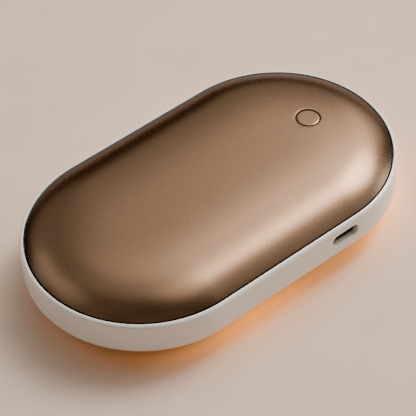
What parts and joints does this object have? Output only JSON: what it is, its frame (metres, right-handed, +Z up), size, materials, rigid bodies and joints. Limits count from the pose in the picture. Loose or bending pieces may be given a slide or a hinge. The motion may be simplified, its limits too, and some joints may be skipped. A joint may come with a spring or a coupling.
{
  "type": "rechargeable hand warmer",
  "caption": "Pill-shaped pocket hand warmer: domed metal shells, plastic mid band with charging port, amber light ring, flush press button and heaters inside",
  "frame": {"origin": "centre of the flat on the underside that it rests on", "axes": "+X along the body to the button end, -Y to the side with the charging port, +Z up"},
  "size_m": [0.115, 0.068, 0.0227],
  "materials": {
    "bronze_aluminium": "satin",
    "ivory_plastic": "matte",
    "amber_diffuser": "satin",
    "dark_plastic": "matte",
    "black_plastic": "satin",
    "adhesive_tape": "matte",
    "polyimide_film": "gloss",
    "etched_foil": "satin",
    "foam": "matte",
    "epoxy_bead": "gloss",
    "pouch_foil": "satin",
    "circuit_board": "gloss",
    "red_insulation": "satin",
    "black_insulation": "satin",
    "connector_plastic": "satin",
    "chip_black": "matte",
    "ferrite": "matte",
    "chip_ceramic": "satin",
    "nickel_steel": "satin",
    "gold_plate": "polished",
    "amber_lamp": "gloss"
  },
  "bodies": {
    "body": {"top_shell": "bronze_aluminium", "top_tape": "adhesive_tape", "top_liner": "dark_plastic", "button_guide": "dark_plastic", "heater_film_top": "polyimide_film", "heater_trace_top": "etched_foil", "foam_pad_top": "foam", "heater_tail_top": "polyimide_film", "thermistor": "epoxy_bead", "battery_cell": "pouch_foil", "battery_tape": "adhesive_tape", "battery_pcm": "circuit_board", "battery_lead_red": "red_insulation", "battery_lead_black": "black_insulation", "battery_plug": "connector_plastic", "battery_socket": "connector_plastic", "battery_tray": "dark_plastic", "main_pcb": "circuit_board", "mcu": "chip_black", "charger_ic": "chip_black", "power_inductor": "ferrite", "mosfets": "chip_black", "chip_capacitors": "chip_ceramic", "chip_resistors": "chip_black", "heater_connectors": "connector_plastic", "usb_c_shell": "nickel_steel", "usb_c_tongue": "black_plastic", "usb_c_contacts": "gold_plate", "switch_body": "black_plastic", "switch_cover": "nickel_steel", "mid_frame": "ivory_plastic", "light_ring": "amber_diffuser", "led_flex": "polyimide_film", "amber_leds": "amber_lamp", "bottom_shell": "bronze_aluminium", "bottom_tape": "adhesive_tape", "bottom_liner": "dark_plastic", "heater_film_bottom": "polyimide_film", "heater_trace_bottom": "etched_foil", "foam_pad_bottom": "foam", "heater_tail_bottom": "polyimide_film", "pcb_screws": "nickel_steel", "tray_screws": "nickel_steel"},
    "button": {"power_button": "bronze_aluminium", "button_stem": "black_plastic"},
    "plunger": {"switch_plunger": "black_plastic"}
  },
  "joints": [
    {"name": "button_press", "type": "slide", "parent": "body", "child": "button", "axis": [0, 0, -1], "range_m": [0, 0.0004], "stiffness_N_per_m": 150, "springref_m": -0.0005},
    {"name": "switch_press", "type": "slide", "parent": "body", "child": "plunger", "axis": [0, 0, -1], "range_m": [0, 0.0004]}
  ],
  "couplings": [
    {"joint": "switch_press", "follows": "button_press", "ratio": 1}
  ]
}
